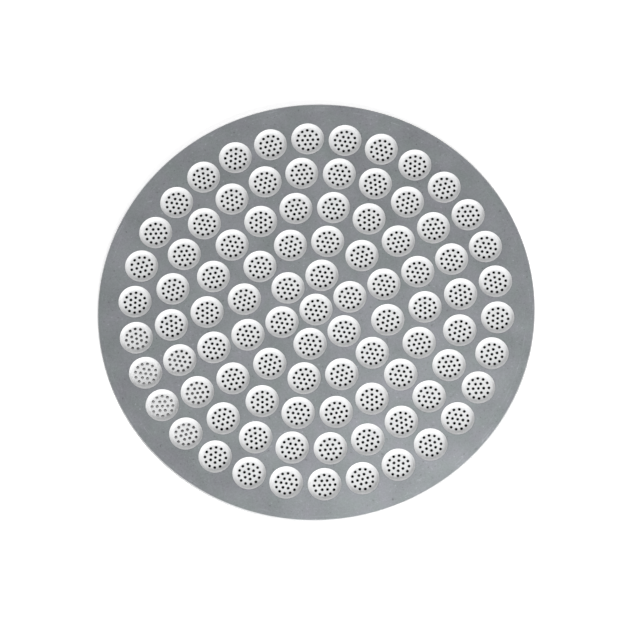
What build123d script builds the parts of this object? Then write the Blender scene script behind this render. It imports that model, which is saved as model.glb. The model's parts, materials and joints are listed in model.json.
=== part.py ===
from build123d import *
import os
from math import floor

# Espresso puck screen: one thin stainless plate that lies on the coffee in the basket.
# Round recesses are etched into its upper face, and fine holes run through each recess floor.
# Millimetres, +Z up. The origin is the centre of the underside, and the first spoke is +X.

# plate
plate_diameter = 58.5
plate_thickness = 0.8
edge_round = 0.1

# fine holes: one in the middle of each recess, with rings of 6, 12, ... around it
hole_diameter = 0.35
hole_pitch = 0.70
hole_ring_count = 2

# recesses
floor_thickness = 0.34
floor_margin = 0.02
wall_width = 0.6

# pattern of recesses: one in the middle of the plate, with rings of 6, 12, ... around it
recess_gap = 0.47
least_rim_land = 2.5

# how far a cutter reaches past the face that it opens
overcut = 0.5

# what follows from those sizes
plate_radius = plate_diameter / 2
hole_radius = hole_diameter / 2
recess_depth = plate_thickness - floor_thickness
recess_floor_radius = hole_ring_count * hole_pitch + hole_radius + floor_margin
recess_radius = recess_floor_radius + wall_width
recess_pitch = 2 * recess_radius + recess_gap
recess_ring_count = floor((plate_radius - least_rim_land - recess_radius) / recess_pitch)


def make_plate():
    """The plain round plate, with its two outer edges rounded."""
    blank = Cylinder(plate_radius, plate_thickness, align=(Align.CENTER, Align.CENTER, Align.MIN))
    return fillet(blank.edges().filter_by(GeomType.CIRCLE), edge_round)


def recess_section():
    """Half of a recess in section: a flat floor and a wall that rises from it in one hollow arc."""
    top = recess_depth + overcut
    with BuildSketch(Plane.XZ) as section:
        with BuildLine():
            Line((0, 0), (recess_floor_radius, 0))
            TangentArc((recess_floor_radius, 0), (recess_radius, recess_depth), tangent=(1, 0))
            Polyline((recess_radius, recess_depth), (recess_radius, top), (0, top), (0, 0))
        make_face()
    return section.sketch


def hole_cluster():
    """One hole and the rings around it: ring k has 6 k holes.

    Odd rings start half a step off the line to the plate's centre, and even rings start on it."""
    with BuildSketch() as cluster:
        Circle(hole_radius)
        for ring in range(1, hole_ring_count + 1):
            count = 6 * ring
            start = 180 / count * (ring % 2)
            with PolarLocations(ring * hole_pitch, count, start_angle=start):
                Circle(hole_radius)
    return cluster.sketch


def make_cutter():
    """What one recess with its holes takes out of the plate, with z = 0 at the recess floor."""
    hollow = revolve(recess_section(), axis=Axis.Z)
    pins = extrude(hole_cluster(), amount=-(floor_thickness + overcut))
    return hollow + pins


def recess_places():
    """One place in the middle, and ring k with 6 k places. Each is turned to face the centre."""
    places = [Location((0, 0, floor_thickness))]
    for ring in range(1, recess_ring_count + 1):
        spots = PolarLocations(ring * recess_pitch, 6 * ring)
        places += [Pos(0, 0, floor_thickness) * spot for spot in spots]
    return places


def make_puck_screen():
    """The plate with every recess and hole taken out in one cut."""
    cutter = make_cutter()
    return make_plate().cut(*[cutter.moved(place) for place in recess_places()])


os.makedirs("parts", exist_ok=True)
export_step(make_puck_screen(), "parts/puck_screen.step")
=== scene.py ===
import json
import math

import bpy
import numpy as np
from mathutils import Matrix, Vector


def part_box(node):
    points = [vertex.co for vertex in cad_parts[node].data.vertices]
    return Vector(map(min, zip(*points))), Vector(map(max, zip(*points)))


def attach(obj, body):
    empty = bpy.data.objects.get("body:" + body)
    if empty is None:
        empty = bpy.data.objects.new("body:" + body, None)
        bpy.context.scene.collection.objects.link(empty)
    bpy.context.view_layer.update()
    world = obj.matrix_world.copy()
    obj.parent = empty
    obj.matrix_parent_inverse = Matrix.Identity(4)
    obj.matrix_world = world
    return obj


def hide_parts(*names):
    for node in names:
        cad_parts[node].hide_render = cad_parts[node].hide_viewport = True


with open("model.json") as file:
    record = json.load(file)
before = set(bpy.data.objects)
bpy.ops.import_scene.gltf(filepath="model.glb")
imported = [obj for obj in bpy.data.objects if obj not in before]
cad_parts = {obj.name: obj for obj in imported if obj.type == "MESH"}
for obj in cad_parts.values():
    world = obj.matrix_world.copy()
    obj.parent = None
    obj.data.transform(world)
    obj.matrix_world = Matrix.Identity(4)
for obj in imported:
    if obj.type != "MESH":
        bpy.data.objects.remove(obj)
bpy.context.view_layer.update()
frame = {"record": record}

scene = bpy.context.scene
scene.view_settings.view_transform = "Standard"

mm = 0.001
rimMount = next(m for m in frame["record"]["mounts"] if m["name"] == "rim")
plateRadius = rimMount["dims"]["r_mm"] * mm
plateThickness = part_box("puck_screen")[1][2]


# the plate's surface

plate = {
    "edgeRound": 0.1 * mm,
    "edgeRoundSteps": 3,
    "recessPitch": 4.86 * mm,
    "recessRings": 5,
    "recessFloorRadius": 1.595 * mm,
    "recessWallWidth": 0.6 * mm,
    "recessFloorHeight": 0.34 * mm,
    "wallRows": (0.0, 0.1, 0.38, 0.7, 1.0),   # shares of the wall's arc, close together at the floor
    "wallColourAt": (0.0, 0.0, 0.3, 0.8, 1.0),    # how far each row has turned from floor to wall colour
    "lipBevel": 0.025 * mm,
    "shadeHaloWidth": 0.16 * mm,                   # painted shade: the darker band on the land around each recess
    "holePitch": 0.70 * mm,
    "holeRings": 2,
    "holeRadius": 0.175 * mm,
    "rimSteps": 360,
    "recessSteps": 48,
    "clusterSteps": 24,                       # steps around a cluster on the underside
    "holeSteps": 12,
    "recessArcSteps": (8, 4, 4, 2),           # for the arcs between rings, as ringCells takes them
    "clusterArcSteps": (4, 2, 2, 2),
    "holeArcSteps": (2,),
}

# a hole's corners stand a little outside its circle, so that the polygon has the circle's area
holeCornerRadius = plate["holeRadius"] * math.sqrt(
    2 * math.pi / (plate["holeSteps"] * math.sin(2 * math.pi / plate["holeSteps"])))

# face materials, in the order of the piece's slots
satin, etched, bore, cutEdge = 0, 1, 2, 3


def loopOf(radius, steps, start=0.0):
    # evenly spaced points of a circle, as x + iy
    return radius * np.exp(1j * (start + 2 * np.pi * np.arange(steps) / steps))


def cellOutline(inner, outer, half, innerSteps, sideSteps, outerSteps):
    # a cell between two radii and within half an angle of the x axis: out along the outer arc,
    # straight in along one side, back along the inner arc, and straight out along the other side
    def share(steps):
        return np.arange(steps) / steps
    outerArc = outer * np.exp(1j * half * (2 * share(outerSteps) - 1))
    innerArc = inner * np.exp(1j * half * (1 - 2 * share(innerSteps)))
    firstSide = (outer + (inner - outer) * share(sideSteps)) * np.exp(1j * half)
    lastSide = (inner + (outer - inner) * share(sideSteps)) * np.exp(-1j * half)
    return np.concatenate([outerArc, firstSide, innerArc, lastSide])


def ringCells(rings, pitch, rimRadius, loopSteps, arcSteps, rimSteps, stagger=0.0):
    # A circle cut into one round cell and rings of 6, 12, ... cells, each with a loop in its middle.
    # Ring k has arcSteps (k + 1) steps on each outer arc, so that ring k + 1 meets it with arcSteps k.
    # Odd rings are turned by a share of a cell, the stagger.
    # Each ring gives the directions of its cells, how far out their middles are, the outline of a cell
    # and where the loop in it starts.
    cells = [(np.ones(1, complex), 0.0, loopOf(pitch / 2, loopSteps), 0.0)]
    innerSteps = loopSteps // 6
    for ring in range(1, rings + 1):
        count = 6 * ring
        last = ring == rings
        outer = rimRadius if last else (ring + 0.5) * pitch
        outerSteps = rimSteps // count if last else arcSteps[ring - 1] * (ring + 1)
        sideSteps = (loopSteps - outerSteps - innerSteps) // 2
        outline = cellOutline((ring - 0.5) * pitch, outer, np.pi / count, innerSteps, sideSteps, outerSteps)
        directions = np.exp(2j * np.pi * (np.arange(count) + stagger * (ring % 2)) / count)
        cells.append((directions, ring * pitch, outline, -np.pi * outerSteps / loopSteps))
        if not last:
            innerSteps = arcSteps[ring - 1] * ring
    return cells


def startSheet():
    return {"points": [], "map": [], "near": [], "faces": [], "finish": [], "smooth": [], "count": 0}


def addLoops(sheet, points, heights, finish, smooth=False, mapPoints=None, near=0.0, below=False):
    # points: copies x rows x steps, as x + iy. Each face joins two neighbouring points of a row
    # to the same two of the next row, and every row closes on itself.
    index = sheet["count"] + np.arange(points.size).reshape(points.shape)
    after = np.roll(index, -1, axis=2)
    faces = np.stack([index[:, :-1], index[:, 1:], after[:, 1:], after[:, :-1]], axis=-1).reshape(-1, 4)
    z = np.broadcast_to(np.reshape(heights, (1, -1, 1)), points.shape)
    onMap = points if mapPoints is None else mapPoints
    if below:
        onMap = np.conj(onMap)
    layout = bakeMap["below" if below else "above"]
    u = layout["centre"][0] + layout["scale"] * onMap.real
    v = layout["centre"][1] + layout["scale"] * onMap.imag
    sheet["points"].append(np.stack([points.real, points.imag, z], axis=-1).reshape(-1, 3))
    sheet["map"].append(np.stack([u, v], axis=-1).reshape(-1, 2))
    sheet["near"].append(np.broadcast_to(np.reshape(near, (1, -1, 1)), points.shape).ravel())
    sheet["faces"].append(faces)
    sheet["finish"].append(np.full(len(faces), finish))
    sheet["smooth"].append(np.full(len(faces), smooth))
    sheet["count"] += points.size


# Where the two faces of the plate lie on the bake map: centre, and map units for each metre.
# The rim and the bores are folded out flat, the rim outwards and the bores inwards by boreShrink.
rimReach = plateRadius + plateThickness
bakeMap = {
    "above": {"centre": (0.38, 0.38), "scale": 0.37 / rimReach},
    "below": {"centre": (0.79, 0.79), "scale": 0.2 / rimReach},
}
boreShrink = 0.6        # share of the bore's radius


def addLand(sheet):
    # the flat between the recesses: lip, the ring where the painted shade round each recess ends, and cell
    # outline, all at the plate's height
    lip = plate["recessFloorRadius"] + plate["recessWallWidth"] + plate["lipBevel"]
    shadeHaloRadius = lip + plate["shadeHaloWidth"]
    for directions, distance, outline, start in recessCells:
        loop = loopOf(1.0, plate["recessSteps"], start)
        rows = np.stack([distance + lip * loop, distance + shadeHaloRadius * loop, outline])
        addLoops(sheet, directions[:, None, None] * rows, [plateThickness] * 3, satin, near=[1.0, 0.0, 0.0])


def addWalls(sheet):
    # each wall rises from the floor in one hollow arc, tangent to the floor, and ends in a fine bevel
    width, rise = plate["recessWallWidth"], plateThickness - plate["recessFloorHeight"]
    arcRadius = (width ** 2 + rise ** 2) / (2 * rise)
    turn = np.arcsin(width / arcRadius) if rise < arcRadius else np.pi - np.arcsin(width / arcRadius)
    angles = turn * np.array(plate["wallRows"])
    out = plate["recessFloorRadius"] + arcRadius * np.sin(angles)
    up = plate["recessFloorHeight"] + arcRadius * (1 - np.cos(angles))
    up[-1] -= plate["lipBevel"]
    out = np.append(out, out[-1] + plate["lipBevel"])
    up = np.append(up, plateThickness)
    rows = out[:, None] * loopOf(1.0, plate["recessSteps"])[None, :]
    addLoops(sheet, inRecesses(rows[None]), up, etched, smooth=True, near=[*plate["wallColourAt"], 1.0])


def addClusters(sheet):
    # recess floors with their bores: bore foot, bore mouth, and the outline of the cell around it
    floorHeight = plate["recessFloorHeight"]
    for directions, distance, outline, start in holeCells:
        loop = loopOf(holeCornerRadius, plate["holeSteps"], start)
        toCell = directions[:, None, None]
        mouth = distance + loop
        # -1 at each bore's mouth, where the etched floor takes its painted shade collar
        addLoops(sheet, inRecesses(toCell * np.stack([mouth, outline])), [floorHeight] * 2, etched,
                 near=[-1.0, 0.0])
        folded = distance + (1 - boreShrink) * loop
        addLoops(sheet, inRecesses(toCell * np.stack([mouth, mouth])), [0.0, floorHeight], bore, smooth=True,
                 mapPoints=inRecesses(toCell * np.stack([folded, mouth])))
    for directions, distance, outline, start in holeCellsBelow:
        foot = distance + loopOf(holeCornerRadius, plate["holeSteps"], start)
        rows = directions[:, None, None] * np.stack([outline, foot])
        addLoops(sheet, inRecesses(rows), [0.0] * 2, satin, below=True)


def addUnderside(sheet):
    # the flat underside around the clusters
    for directions, distance, outline, start in clusterCells:
        loop = distance + loopOf(plate["recessFloorRadius"], plate["clusterSteps"], start)
        addLoops(sheet, directions[:, None, None] * np.stack([outline, loop]), [0.0] * 2, satin, below=True)


def addRim(sheet):
    # Quarter round, straight side, quarter round.
    # On the map each row lies as far out as it is along the profile.
    corner = plate["edgeRound"]
    quarter = np.linspace(0, np.pi / 2, plate["edgeRoundSteps"] + 1)
    out = plateRadius - corner + corner * np.concatenate([np.sin(quarter), np.cos(quarter)])
    up = np.concatenate([plateThickness - corner * (1 - np.cos(quarter)), corner * (1 - np.sin(quarter))])
    along = np.append(0.0, np.cumsum(np.hypot(np.diff(out), np.diff(up))))
    circle = loopOf(1.0, plate["rimSteps"])
    addLoops(sheet, (out[:, None] * circle)[None], up, cutEdge, smooth=True,
             mapPoints=((out[0] + along)[:, None] * circle)[None])


def inRecesses(points):
    # copies of points given around a recess, one for each recess, turned to face the plate's centre
    placed = recessCentres[:, None, None, None] + recessDirections[:, None, None, None] * points[None]
    return placed.reshape((-1,) + points.shape[-2:])


recessCells = ringCells(plate["recessRings"], plate["recessPitch"], plateRadius - plate["edgeRound"],
                        plate["recessSteps"], plate["recessArcSteps"], plate["rimSteps"])
clusterCells = ringCells(plate["recessRings"], plate["recessPitch"], plateRadius - plate["edgeRound"],
                         plate["clusterSteps"], plate["clusterArcSteps"], plate["rimSteps"])
holeCells = ringCells(plate["holeRings"], plate["holePitch"], plate["recessFloorRadius"],
                      plate["holeSteps"], plate["holeArcSteps"], plate["recessSteps"], stagger=0.5)
holeCellsBelow = ringCells(plate["holeRings"], plate["holePitch"], plate["recessFloorRadius"],
                           plate["holeSteps"], plate["holeArcSteps"], plate["clusterSteps"], stagger=0.5)
recessDirections = np.concatenate([cell[0] for cell in recessCells])
recessCentres = np.concatenate([cell[0] * cell[1] for cell in recessCells])


weldDistance = 1e-6
weldOffset = 0.37        # a share of the distance, so that no point lies on the border of two weld cells


def weldedMesh(name, sheet):
    # points that lie in one place become one point, and the sheet closes into one skin
    points = np.concatenate(sheet["points"])
    loose = np.concatenate(sheet["faces"])
    keys = np.floor(points / weldDistance + weldOffset).astype(np.int64)
    first, inverse = np.unique(keys, axis=0, return_index=True, return_inverse=True)[1:]
    faces = inverse.reshape(-1)[loose]
    ends = np.sort(np.stack([faces, np.roll(faces, -1, axis=1)], axis=-1).reshape(-1, 2), axis=1)
    uses = np.unique(ends, axis=0, return_counts=True)[1]
    print(f"{name}: {len(first)} points, {2 * len(faces)} triangles, {int(np.sum(uses != 2))} open edges")
    mesh = bpy.data.meshes.new(name)
    mesh.vertices.add(len(first))
    mesh.vertices.foreach_set("co", points[first].ravel())
    mesh.loops.add(faces.size)
    mesh.loops.foreach_set("vertex_index", faces.ravel())
    mesh.polygons.add(len(faces))
    mesh.polygons.foreach_set("loop_start", np.arange(0, faces.size, 4))
    mesh.polygons.foreach_set("material_index", np.concatenate(sheet["finish"]))
    mesh.polygons.foreach_set("use_smooth", np.concatenate(sheet["smooth"]))
    mesh.update(calc_edges=True)
    mesh.uv_layers.new(name="OFBake").data.foreach_set("uv", np.concatenate(sheet["map"])[loose].ravel())
    # 1 at the lip of a recess, 0 away from it and -1 at the mouth of a hole; it masks the painted shade
    # round each lip and each hole's mouth
    near = mesh.attributes.new("recessEdge", "FLOAT", "POINT")
    near.data.foreach_set("value", np.concatenate(sheet["near"])[first])
    return mesh


def makePuckScreen():
    sheet = startSheet()
    addLand(sheet)
    addWalls(sheet)
    addClusters(sheet)
    addUnderside(sheet)
    addRim(sheet)
    piece = bpy.data.objects.new("puckScreenPlate", weldedMesh("puckScreenPlate", sheet))
    scene.collection.objects.link(piece)
    return piece


# finishes

def addNode(tree, kind, **settings):
    node = tree.nodes.new(kind)
    for key, value in settings.items():
        setattr(node, key, value)
    return node


def feed(tree, socket, source):
    # a socket takes either another node's output or a plain value
    if isinstance(source, bpy.types.NodeSocket):
        tree.links.new(source, socket)
    else:
        socket.default_value = source


def reckon(tree, operation, a, b=0.0, c=0.0):
    node = addNode(tree, "ShaderNodeMath", operation=operation)
    for socket, source in zip(node.inputs, (a, b, c)):
        feed(tree, socket, source)
    return node.outputs[0]


def spread(tree, value, low, high, toLow=0.0, toHigh=1.0):
    # a value between low and high becomes one between toLow and toHigh, and stays there outside
    node = addNode(tree, "ShaderNodeMapRange")
    for socket, source in zip(node.inputs, (value, low, high, toLow, toHigh)):
        feed(tree, socket, source)
    return node.outputs["Result"]


def noiseAt(tree, place, scale, detail=2.0, roughness=0.5):
    node = addNode(tree, "ShaderNodeTexNoise")
    feed(tree, node.inputs["Vector"], place)
    feed(tree, node.inputs["Scale"], scale)
    node.inputs["Detail"].default_value = detail
    node.inputs["Roughness"].default_value = roughness
    return node.outputs["Fac"]


def toned(tree, colour, tone):
    # a colour made lighter or darker by a tone around 1
    node = addNode(tree, "ShaderNodeVectorMath", operation="SCALE")
    feed(tree, node.inputs[0], colour)
    feed(tree, node.inputs["Scale"], tone)
    return node.outputs["Vector"]


def mixed(tree, share, first, second):
    # the first colour where the share is 0, the second where it is 1
    node = addNode(tree, "ShaderNodeMix", data_type="RGBA")
    feed(tree, node.inputs["Factor"], share)
    colourSockets = [socket for socket in node.inputs if socket.type == "RGBA"]
    for socket, colour in zip(colourSockets, (first, second)):
        socket.default_value = (*colour, 1.0)
    return next(socket for socket in node.outputs if socket.type == "RGBA")


def startMaterial(name):
    material = bpy.data.materials.new(name)
    material.use_nodes = True
    tree = material.node_tree
    shader = tree.nodes["Principled BSDF"]
    place = addNode(tree, "ShaderNodeTexCoord").outputs["Object"]
    return material, tree, shader, place


def makeSteelGrain():
    # grain and soft clouds of tone, shared by all the finishes of the plate
    group = bpy.data.node_groups.new("steelGrain", "ShaderNodeTree")
    side = group.interface
    side.new_socket("Place", in_out="INPUT", socket_type="NodeSocketVector")
    for name in ("Grain Scale", "Cloud Scale", "Grain Amount", "Cloud Amount"):
        side.new_socket(name, in_out="INPUT", socket_type="NodeSocketFloat")
    for name in ("Tone", "Height"):
        side.new_socket(name, in_out="OUTPUT", socket_type="NodeSocketFloat")
    start, end = group.nodes.new("NodeGroupInput"), group.nodes.new("NodeGroupOutput")
    grain = noiseAt(group, start.outputs["Place"], start.outputs["Grain Scale"], detail=3.0, roughness=0.6)
    cloud = noiseAt(group, start.outputs["Place"], start.outputs["Cloud Scale"])
    tone = 1.0
    for noise, amount in ((grain, "Grain Amount"), (cloud, "Cloud Amount")):
        around = reckon(group, "SUBTRACT", noise, 0.5)
        tone = reckon(group, "MULTIPLY_ADD", around, start.outputs[amount], tone)
    group.links.new(tone, end.inputs["Tone"])
    group.links.new(grain, end.inputs["Height"])
    return group


def placeGrain(tree, place, grainScale, cloudScale, grainAmount, cloudAmount):
    node = addNode(tree, "ShaderNodeGroup", node_tree=steelGrain)
    for name, source in (("Place", place), ("Grain Scale", grainScale), ("Cloud Scale", cloudScale),
                         ("Grain Amount", grainAmount), ("Cloud Amount", cloudAmount)):
        feed(tree, node.inputs[name], source)
    return node.outputs["Tone"], node.outputs["Height"]


bumpStrength = 0.5


def bumped(tree, height, distance):
    node = addNode(tree, "ShaderNodeBump")
    node.inputs["Strength"].default_value = bumpStrength
    node.inputs["Distance"].default_value = distance
    feed(tree, node.inputs["Height"], height)
    return node.outputs["Normal"]


satinFinish = {
    "greenTint": (0.219, 0.241, 0.243),
    "blueTint": (0.229, 0.234, 0.253),
    "tintSize": 2.4 * mm,
    "metallic": 0.9,
    "roughness": 0.45,
    "roughnessSpread": 0.06,
    "grainSize": 0.22 * mm,
    "cloudSize": 5.0 * mm,
    "grainAmount": 0.5,
    "cloudAmount": 0.45,
    "bumpDepth": 0.004 * mm,
    # painted shade: how much the land darkens at each recess's lip
    "shadeHaloDarkness": 0.1,
    "scratchLength": 2.6 * mm,
    "scratchWidth": 0.07 * mm,
    "scratchTone": 0.3,
    "scratchTurns": (0.6, 2.1),      # radians, one set of scratches each
    "scratchOffset": (7.3, 3.1),     # for each radian, so that the sets differ
    "scratchPeaks": (0.72, 0.80),    # the noise from where a scratch starts to where it is full
    "scuffTone": 0.4,
    "scuffBand": 2.0 * mm,           # width of the band along the rim that is scuffed
    "scuffFullFrom": 0.4 * mm,       # how far inside the rim the scuffs reach their full tone
    "scuffsAround": 9.0,             # the larger, the shorter the scuffs
    "scuffWidth": 0.14 * mm,
    "scuffPeaks": (0.62, 0.78),
    "speckSpacing": 0.42 * mm,
    "speckTone": 0.3,
    "speckPeaks": (0.66, 0.78),
    "speckDips": (0.34, 0.22),
}

# most of a noise lies between these values
noiseRange = (0.3, 0.7)


def scratchesAt(tree, place, turn):
    # fine straight streaks in one direction: noise stretched along it, of which only the peaks are kept
    mapping = addNode(tree, "ShaderNodeMapping")
    feed(tree, mapping.inputs["Vector"], place)
    offset = satinFinish["scratchOffset"]
    mapping.inputs["Rotation"].default_value = (0, 0, turn)
    along, across = 1 / satinFinish["scratchLength"], 1 / satinFinish["scratchWidth"]
    mapping.inputs["Scale"].default_value = (along, across, 1.0)
    mapping.inputs["Location"].default_value = (offset[0] * turn, offset[1] * turn, 0)
    streak = noiseAt(tree, mapping.outputs["Vector"], 1.0, detail=1.0)
    return spread(tree, streak, *satinFinish["scratchPeaks"])


def scuffsAt(tree, place):
    # short streaks that follow the rim: noise over the direction from the centre and over the radius
    parts = addNode(tree, "ShaderNodeSeparateXYZ")
    feed(tree, parts.inputs[0], place)
    x, y = parts.outputs["X"], parts.outputs["Y"]
    squares = reckon(tree, "ADD", reckon(tree, "MULTIPLY", x, x), reckon(tree, "MULTIPLY", y, y))
    radius = reckon(tree, "SQRT", squares)
    ring = addNode(tree, "ShaderNodeCombineXYZ")
    for axis, share in (("X", x), ("Y", y)):
        direction = reckon(tree, "DIVIDE", share, radius)
        feed(tree, ring.inputs[axis], reckon(tree, "MULTIPLY", direction, satinFinish["scuffsAround"]))
    feed(tree, ring.inputs["Z"], reckon(tree, "DIVIDE", radius, satinFinish["scuffWidth"]))
    streak = spread(tree, noiseAt(tree, ring.outputs[0], 1.0, detail=1.0), *satinFinish["scuffPeaks"])
    bandStart = plateRadius - satinFinish["scuffBand"]
    band = spread(tree, radius, bandStart, plateRadius - satinFinish["scuffFullFrom"])
    return reckon(tree, "MULTIPLY", streak, band)


def specksAt(tree, place):
    # small light specks less small dark ones: the peaks of a noise less its dips
    grit = noiseAt(tree, place, 1 / satinFinish["speckSpacing"], detail=1.0)
    light = spread(tree, grit, *satinFinish["speckPeaks"])
    dark = spread(tree, grit, *satinFinish["speckDips"])
    return reckon(tree, "SUBTRACT", light, dark)


def makeSatinFace():
    material, tree, shader, place = startMaterial("satinFace")
    tone, height = placeGrain(tree, place, 1 / satinFinish["grainSize"], 1 / satinFinish["cloudSize"],
                              satinFinish["grainAmount"], satinFinish["cloudAmount"])
    near = addNode(tree, "ShaderNodeAttribute", attribute_name="recessEdge").outputs["Fac"]
    # painted shade on the land, darkest at each recess's lip and fading out over the halo
    tone = reckon(tree, "SUBTRACT", tone, reckon(tree, "MULTIPLY", near, satinFinish["shadeHaloDarkness"]))
    for turn in satinFinish["scratchTurns"]:
        tone = reckon(tree, "MULTIPLY_ADD", scratchesAt(tree, place, turn), satinFinish["scratchTone"], tone)
    tone = reckon(tree, "MULTIPLY_ADD", scuffsAt(tree, place), satinFinish["scuffTone"], tone)
    tone = reckon(tree, "MULTIPLY_ADD", specksAt(tree, place), satinFinish["speckTone"], tone)
    tint = spread(tree, noiseAt(tree, place, 1 / satinFinish["tintSize"]), *noiseRange)
    colour = mixed(tree, tint, satinFinish["greenTint"], satinFinish["blueTint"])
    feed(tree, shader.inputs["Base Color"], toned(tree, colour, tone))
    rough, half = satinFinish["roughness"], satinFinish["roughnessSpread"] / 2
    feed(tree, shader.inputs["Roughness"], spread(tree, height, *noiseRange, rough - half, rough + half))
    shader.inputs["Metallic"].default_value = satinFinish["metallic"]
    feed(tree, shader.inputs["Normal"], bumped(tree, height, satinFinish["bumpDepth"]))
    return material


etchedFinish = {
    "floorColour": (0.71, 0.715, 0.72),
    "wallColour": (0.70, 0.705, 0.71),
    "roughness": 0.5,
    "grainSize": 0.16 * mm,
    "cloudSize": 1.6 * mm,
    "grainAmount": 0.3,
    "cloudAmount": 0.14,
    "bumpDepth": 0.02 * mm,
    "shadeCollarReach": 0.25,             # painted shade: the darker collar of a hole, as a share of the way to the next cell
    "shadeCollarDarkness": 0.75,
}

# the rim is cut through by the same etch, and its colour is painted greyer as shade, so that the low front
# key doesn't bleach it
rimShadeFinish = dict(etchedFinish, floorColour=(0.52, 0.525, 0.53), wallColour=(0.52, 0.525, 0.53))


def makeEtched(name, finish):
    material, tree, shader, place = startMaterial(name)
    tone, height = placeGrain(tree, place, 1 / finish["grainSize"], 1 / finish["cloudSize"],
                              finish["grainAmount"], finish["cloudAmount"])
    edge = addNode(tree, "ShaderNodeAttribute", attribute_name="recessEdge").outputs["Fac"]
    colour = mixed(tree, edge, finish["floorColour"], finish["wallColour"])
    # painted shade round each hole's mouth, darkest at the mouth
    mouthShade = spread(tree, edge, finish["shadeCollarReach"] - 1.0, -1.0, 0.0, finish["shadeCollarDarkness"])
    tone = reckon(tree, "MULTIPLY", tone, reckon(tree, "SUBTRACT", 1.0, mouthShade))
    feed(tree, shader.inputs["Base Color"], toned(tree, colour, tone))
    shader.inputs["Roughness"].default_value = finish["roughness"]
    feed(tree, shader.inputs["Normal"], bumped(tree, height, finish["bumpDepth"]))
    return material


# painted shade: the bore walls are coloured nearly black, with little specular, to stand for the shade deep
# in the fine bores
boreShadeFinish = {
    "colour": (0.008, 0.008, 0.0085),
    "roughness": 0.6,
    "specular": 0.05,
    "grainSize": 0.1 * mm,
    "cloudSize": 1.0 * mm,
    "grainAmount": 0.4,
    "cloudAmount": 0.4,
}


def makeShadedHoleWall():
    material, tree, shader, place = startMaterial("holeWallShade")
    tone = placeGrain(tree, place, 1 / boreShadeFinish["grainSize"], 1 / boreShadeFinish["cloudSize"],
                      boreShadeFinish["grainAmount"], boreShadeFinish["cloudAmount"])[0]
    feed(tree, shader.inputs["Base Color"], toned(tree, boreShadeFinish["colour"], tone))
    shader.inputs["Roughness"].default_value = boreShadeFinish["roughness"]
    shader.inputs["Specular IOR Level"].default_value = boreShadeFinish["specular"]
    return material


# floor, light and camera

# Seen from the camera, the first spoke points to the right and is turned this far away from it.
spokeTurn = math.radians(13.817)


def aroundPlate(azimuth, elevation, distance):
    # a place by its direction from the plate, in degrees; azimuth 0 is the camera's side, 90 its right
    a, e = math.radians(azimuth) - spokeTurn, math.radians(elevation)
    return Vector((math.sin(a) * math.cos(e), -math.cos(a) * math.cos(e), math.sin(e))) * distance


def asSeen(x, y):
    # a place on the plate given as it is seen, x to the right and y away from the camera
    return Matrix.Rotation(-spokeTurn, 3, "Z") @ Vector((x, y, 0))


floorLook = {
    "size": 4.0,
    "colour": (0.80, 0.80, 0.80),
    "roughness": 0.9,
    "glow": 0.62,                             # seen by the camera and in reflections only
    # painted shade: the floor's colour under the plate, so the bores show dark
    "underPlateShade": (0.002, 0.002, 0.002),
    "shadeInset": 0.5 * mm,                   # the painted shade under the plate ends this far inside the rim
    "shadeFade": 0.1 * mm,
    "lightSpot": (-29.0 * mm, -11.0 * mm),    # as seen; a painted pool of light in the shade under the plate, so that round here the floor shows through the bores
    "lightSpotRadius": 5.5 * mm,
    "lightSpotFade": 8.0 * mm,
    "lightSpotShare": 0.53,                   # of the open floor's brightness
}


def whenSeen(tree):
    # 1 for camera, glossy and transmission rays
    path = addNode(tree, "ShaderNodeLightPath")
    seen = reckon(tree, "MAXIMUM", path.outputs["Is Camera Ray"], path.outputs["Is Glossy Ray"])
    return reckon(tree, "MAXIMUM", seen, path.outputs["Is Transmission Ray"])


def distanceFrom(tree, place, centre):
    node = addNode(tree, "ShaderNodeVectorMath", operation="DISTANCE")
    feed(tree, node.inputs[0], place)
    node.inputs[1].default_value = centre
    return node.outputs["Value"]


def makeFloor():
    half = floorLook["size"] / 2
    mesh = bpy.data.meshes.new("paleFloor")
    corners = [(-half, -half, 0), (half, -half, 0), (half, half, 0), (-half, half, 0)]
    mesh.from_pydata(corners, [], [(0, 1, 2, 3)])
    floor = bpy.data.objects.new("paleFloor", mesh)
    scene.collection.objects.link(floor)
    material, tree, shader, place = startMaterial("paleFloor")
    # painted shade on the floor under the plate, which also takes away the glow there, lifted by a painted
    # pool of light round the lightSpot
    edge = plateRadius - floorLook["shadeInset"]
    floorShadeUnderPlate = spread(tree, distanceFrom(tree, place, (0, 0, 0)), edge, edge - floorLook["shadeFade"])
    spot = asSeen(*floorLook["lightSpot"])
    spotEnd = floorLook["lightSpotRadius"] + floorLook["lightSpotFade"]
    shadeOutsideSpot = spread(tree, distanceFrom(tree, place, spot), floorLook["lightSpotRadius"], spotEnd,
                   1 - floorLook["lightSpotShare"], 1.0)
    dark = reckon(tree, "MULTIPLY", floorShadeUnderPlate, shadeOutsideSpot)
    feed(tree, shader.inputs["Base Color"], mixed(tree, dark, floorLook["colour"], floorLook["underPlateShade"]))
    shader.inputs["Roughness"].default_value = floorLook["roughness"]
    shader.inputs["Specular IOR Level"].default_value = 0.0
    shader.inputs["Emission Color"].default_value = (1, 1, 1, 1)
    glow = reckon(tree, "MULTIPLY", whenSeen(tree), floorLook["glow"])
    glow = reckon(tree, "MULTIPLY", glow, reckon(tree, "SUBTRACT", 1.0, dark))
    feed(tree, shader.inputs["Emission Strength"], glow)
    mesh.materials.append(material)


worldLook = {
    "light": 0.04,      # on the object
    "seen": 1.0,        # behind it and in reflections
}


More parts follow.
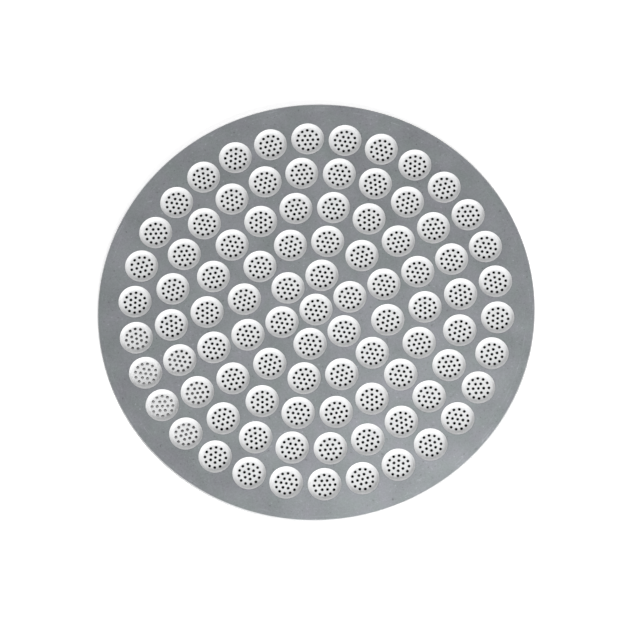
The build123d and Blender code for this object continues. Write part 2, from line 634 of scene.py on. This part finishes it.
def makeWorld():
    world = bpy.data.worlds.new("studio")
    world.use_nodes = True
    tree = world.node_tree
    background = tree.nodes["Background"]
    background.inputs["Color"].default_value = (1, 1, 1, 1)
    extra = worldLook["seen"] - worldLook["light"]
    strength = reckon(tree, "MULTIPLY_ADD", whenSeen(tree), extra, worldLook["light"])
    feed(tree, background.inputs["Strength"], strength)
    scene.world = world


# name: azimuth and elevation in degrees, distance, width, watts, and whether gloss shows it.
# All but the softbox stay out of the gloss, so that the satin face isn't bleached in low views.
lamps = {
    "lowKey": (11, 26, 0.60, 0.28, 5.5, False),
    "highKey": (0, 50, 0.60, 0.34, 0.4, False),
    "backFill": (185, 18, 0.60, 0.34, 2.2, False),
    "softbox": (56, 80.4, 0.086, 0.03, 0.010, True),
}


def makeLamps():
    for name, (azimuth, elevation, distance, width, watts, inGloss) in lamps.items():
        data = bpy.data.lights.new(name, "AREA")
        data.size = width
        data.energy = watts
        lamp = bpy.data.objects.new(name, data)
        lamp.location = aroundPlate(azimuth, elevation, distance)
        lamp.rotation_mode = "QUATERNION"
        lamp.rotation_quaternion = (-lamp.location).to_track_quat("-Z", "Y")
        lamp.visible_camera = False
        lamp.visible_glossy = inGloss
        scene.collection.objects.link(lamp)


cameraStand = {
    "distance": 623.95 * mm,
    "tilt": math.radians(17.940),       # between the line of sight and the plate's axis
    "roll": math.radians(7.215),
    "offCentre": (-0.541 * mm, 1.410 * mm),
    "lens": 262.53,
    "sensor": 36.0,
    "clip": (0.01, 10.0),
}


def makeCamera():
    tilt, roll, distance = cameraStand["tilt"], cameraStand["roll"], cameraStand["distance"]
    sight = Vector((0, math.sin(tilt), -math.cos(tilt)))
    level, rise = Vector((1, 0, 0)), Vector((0, math.cos(tilt), math.sin(tilt)))
    right = level * math.cos(roll) - rise * math.sin(roll)
    up = level * math.sin(roll) + rise * math.cos(roll)
    shiftRight, shiftUp = cameraStand["offCentre"]
    place = Vector((0, 0, plateThickness)) - right * shiftRight - up * shiftUp - sight * distance
    data = bpy.data.cameras.new("camera")
    data.lens = cameraStand["lens"]
    data.sensor_width = cameraStand["sensor"]
    data.clip_start, data.clip_end = cameraStand["clip"]
    camera = bpy.data.objects.new("camera", data)
    axes = Matrix((right, up, -sight)).transposed().to_4x4()
    camera.matrix_world = Matrix.Rotation(-spokeTurn, 4, "Z") @ Matrix.Translation(place) @ axes
    scene.collection.objects.link(camera)
    scene.camera = camera


makeCamera()
makeWorld()
makeLamps()
makeFloor()
print("camera, light and floor made")

steelGrain = makeSteelGrain()
puckScreen = makePuckScreen()
puckScreen.data.materials.append(makeSatinFace())
puckScreen.data.materials.append(makeEtched("etchedRecess", etchedFinish))
puckScreen.data.materials.append(makeShadedHoleWall())
puckScreen.data.materials.append(makeEtched("etchedRimShade", rimShadeFinish))
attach(puckScreen, "root")
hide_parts("puck_screen")
print("plate made and finished")
